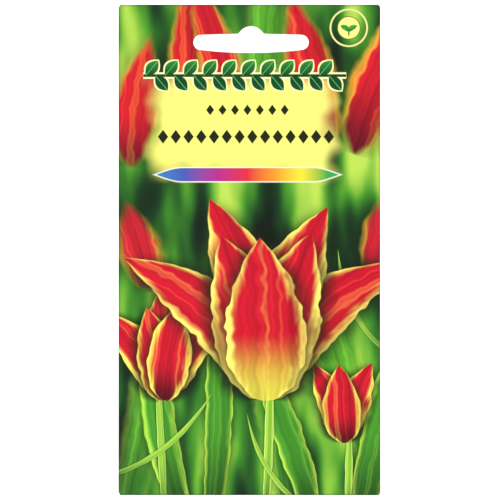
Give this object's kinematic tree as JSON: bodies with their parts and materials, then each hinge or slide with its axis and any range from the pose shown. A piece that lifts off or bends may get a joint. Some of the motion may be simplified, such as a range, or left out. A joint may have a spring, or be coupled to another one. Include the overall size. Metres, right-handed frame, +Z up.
{
  "type": "seed packet",
  "caption": "Flat folded paper sachet with a printed front, a hang slot through its header and a few dry seeds inside.",
  "frame": {"origin": "where the packet hangs: the highest point of the hang slot's hump, midway between the front and the back", "axes": "+Z up along the packet's height, X across its width, and the printed front faces -Y"},
  "size_m": [0.08, 0.006, 0.15],
  "materials": {
    "printed_paper": "satin",
    "dried_glue": "satin",
    "seed_husk": "matte"
  },
  "bodies": {
    "root": {"printed_envelope": "printed_paper", "side_seam_glue": "dried_glue", "bottom_flap_glue": "dried_glue", "top_flap_glue": "dried_glue", "closing_glue": "dried_glue", "seed_1": "seed_husk", "seed_2": "seed_husk", "seed_3": "seed_husk"}
  },
  "joints": []
}
